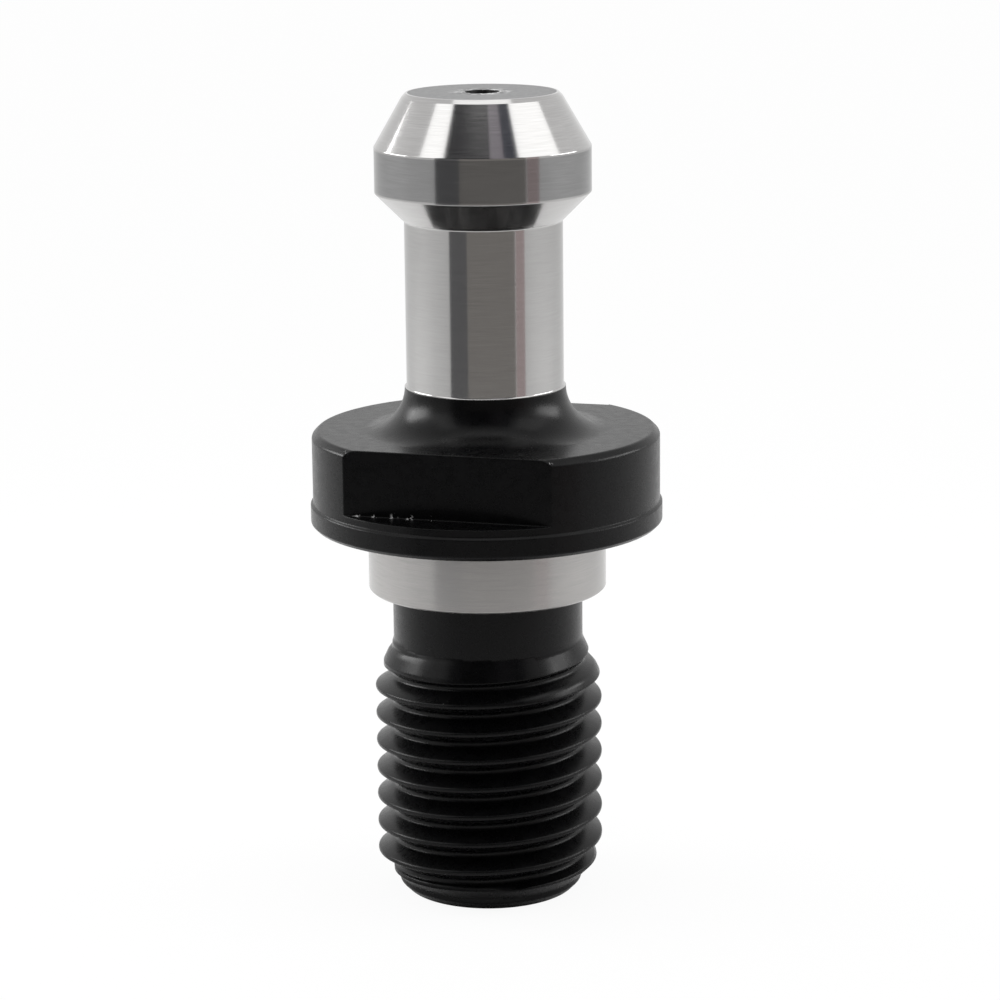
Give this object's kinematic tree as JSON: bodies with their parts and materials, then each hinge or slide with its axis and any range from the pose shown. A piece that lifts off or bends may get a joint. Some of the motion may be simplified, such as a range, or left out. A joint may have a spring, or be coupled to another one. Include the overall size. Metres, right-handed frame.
{
  "type": "pull stud",
  "caption": "Pull stud for a 50-taper tool holder: gripping head with a 45-degree face, ground neck, flange with two wrench flats, ground pilot and metric thread.",
  "frame": {"origin": "centre of the seat, the underside of the flange, where the ground pilot starts", "axes": "+Z along the stud's axis from the seat towards the gripping head; the two wrench flats face -Y and +Y"},
  "size_m": [0.0368, 0.0368, 0.085],
  "materials": {
    "steel": "head, neck and pilot ground bright, the rest black oxide"
  },
  "bodies": {
    "root": {"pull_stud": "steel"}
  },
  "joints": []
}
